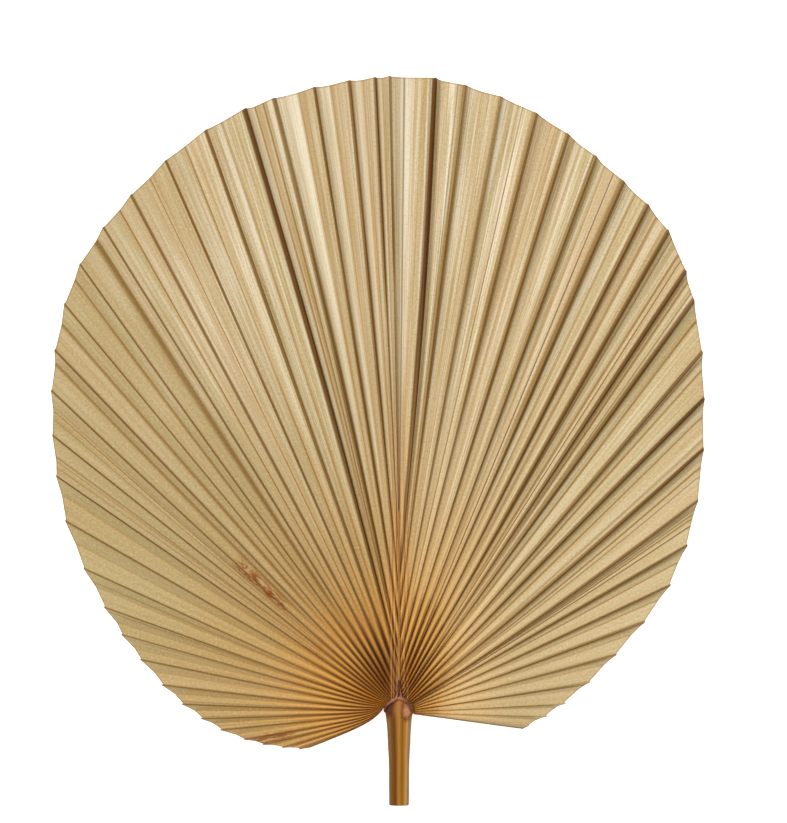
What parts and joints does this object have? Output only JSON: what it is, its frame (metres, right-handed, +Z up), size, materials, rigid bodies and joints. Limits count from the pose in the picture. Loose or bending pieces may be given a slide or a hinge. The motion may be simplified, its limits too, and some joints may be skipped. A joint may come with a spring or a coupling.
{
  "type": "dried fan palm leaf",
  "caption": "Dried pleated fan palm leaf with a trimmed, notched rim, a short cut stalk with its midrib, and a hard crest at the hub, lying flat.",
  "frame": {"origin": "centre of the leaf's box in plan, on the surface that it lies on", "axes": "+Y from the cut stalk towards the tip of the fan, +Z up out of the leaf's upper face, +X to the right as seen from above"},
  "size_m": [0.3808, 0.4238, 0.0127],
  "materials": {
    "dried_blade": "satin, straw-coloured dried leaf",
    "dried_stalk": "satin, golden brown",
    "dried_crest": "satin, reddish brown"
  },
  "bodies": {
    "root": {"leaf_blade": "dried_blade", "leaf_stalk": "dried_stalk", "leaf_crest": "dried_crest"}
  },
  "joints": []
}
